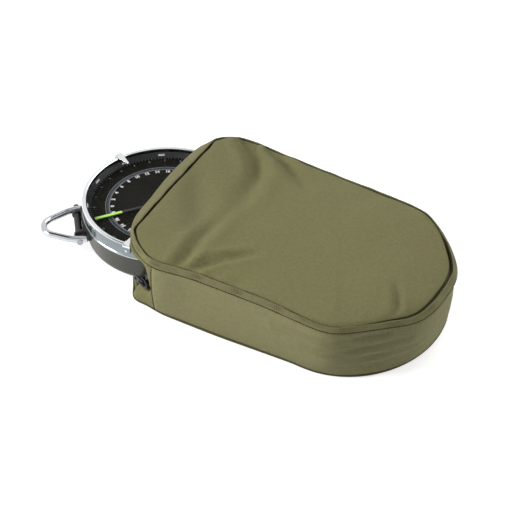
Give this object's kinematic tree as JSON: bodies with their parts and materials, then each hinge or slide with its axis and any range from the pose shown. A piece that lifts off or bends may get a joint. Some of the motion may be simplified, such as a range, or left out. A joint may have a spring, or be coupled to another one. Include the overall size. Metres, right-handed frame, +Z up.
{
  "type": "hanging dial scale in pouch",
  "caption": "Round hanging dial scale with chrome bezel, shackle and swivel hook, lying half out of the spread zip mouth of a padded olive pouch.",
  "frame": {"origin": "centre of the flat base of the pouch, on the surface it lies on", "axes": "+X from the zip mouth to the round closed end, +Z up out of the top panel"},
  "size_m": [0.3214, 0.1744, 0.0546],
  "materials": {
    "olive_cloth": "woven, matt",
    "binding": "folded tape, matt",
    "lining": "fine weave, matt",
    "foam": "closed cell",
    "zip_tape": "woven tape with moulded coil",
    "zip_metal": "black, satin",
    "case_paint": "satin",
    "chrome": "polished",
    "black_metal": "black, satin",
    "steel": "plain",
    "brass": "turned",
    "glass": "clear",
    "dial_black": "matt",
    "black_plastic": "matt",
    "pointer_lime": "bright",
    "nylon": "plain",
    "rubber": "moulded"
  },
  "bodies": {
    "pouch": {"base_panel": "olive_cloth", "base_foam": "foam", "base_binding": "binding", "side_gusset": "olive_cloth", "mouth_lip_lower": "olive_cloth", "mouth_lip_upper": "olive_cloth", "seam_tapes": "binding", "zip_track_lower": "zip_tape", "zip_track_upper": "zip_tape", "lining_floor": "lining", "lining_wall": "lining", "lining_roof": "lining", "top_foam": "foam", "top_panel": "olive_cloth", "top_welt": "olive_cloth"},
    "zip_slider": {"zip_slider": "zip_metal"},
    "zip_pull": {"zip_pull": "zip_metal"},
    "scale_case": {"case_shell": "case_paint", "top_bracket": "black_metal", "bracket_screws": "steel", "shackle_pin": "steel", "pin_sleeve": "black_plastic", "spring_anchor": "steel", "spring_left": "steel", "spring_right": "steel", "bridge_plate": "brass", "bridge_pillars": "brass", "bridge_screws": "steel", "front_bush": "brass", "rear_bush": "brass", "rack_guide": "nylon", "rod_bush": "brass"},
    "bezel": {"bezel": "chrome", "bezel_gasket": "rubber", "glass": "glass", "chapter_ring": "dial_black", "dial_plate": "dial_black", "bezel_lugs": "chrome", "lug_rivets": "chrome"},
    "pointer": {"arbor": "steel", "pinion": "brass", "pointer_arm": "dial_black", "pointer_tip": "pointer_lime", "pointer_cap": "black_plastic"},
    "load_line": {"load_rod": "steel", "crosshead": "steel", "rack": "steel", "swivel_collar": "chrome"},
    "hook": {"hook_swivel": "chrome", "hook": "chrome"},
    "shackle": {"shackle": "chrome"}
  },
  "joints": [
    {"name": "scale_pull", "type": "slide", "parent": "pouch", "child": "scale_case", "axis": [-1, 0, 0], "range_m": [-0.02, 0.15]},
    {"name": "tare_turn", "type": "hinge", "parent": "scale_case", "child": "bezel", "pos_m": [-0.1173, -0.0077, 0.035], "axis": [0, 0, 1], "continuous": true},
    {"name": "load_pull", "type": "slide", "parent": "scale_case", "child": "load_line", "axis": [0.7547, 0.6561, 0], "range_m": [0, 0.0124], "stiffness_N_per_m": 21000, "deforming": ["spring_left", "spring_right"]},
    {"name": "pointer_turn", "type": "hinge", "parent": "scale_case", "child": "pointer", "pos_m": [-0.1173, -0.0077, 0.021], "axis": [0, 0, 1], "range_deg": [-356, 0]},
    {"name": "hook_turn", "type": "hinge", "parent": "load_line", "child": "hook", "pos_m": [-0.0607, 0.0415, 0.021], "axis": [0.7547, 0.6561, 0], "continuous": true},
    {"name": "shackle_swing", "type": "hinge", "parent": "scale_case", "child": "shackle", "pos_m": [-0.16937, -0.05297, 0.021], "axis": [-0.6561, 0.7547, 0], "range_deg": [-80, 80]},
    {"name": "zip_run", "type": "slide", "parent": "pouch", "child": "zip_slider", "axis": [-0.9451, 0.3269, 0], "range_m": [0, 0.008]},
    {"name": "pull_flip", "type": "hinge", "parent": "zip_slider", "child": "zip_pull", "pos_m": [-0.08456, -0.08475, 0.0225], "axis": [0, 0, 1], "range_deg": [0, 165]}
  ],
  "couplings": [
    {"joint": "pointer_turn", "follows": "load_pull", "rad_per_m": -500}
  ]
}
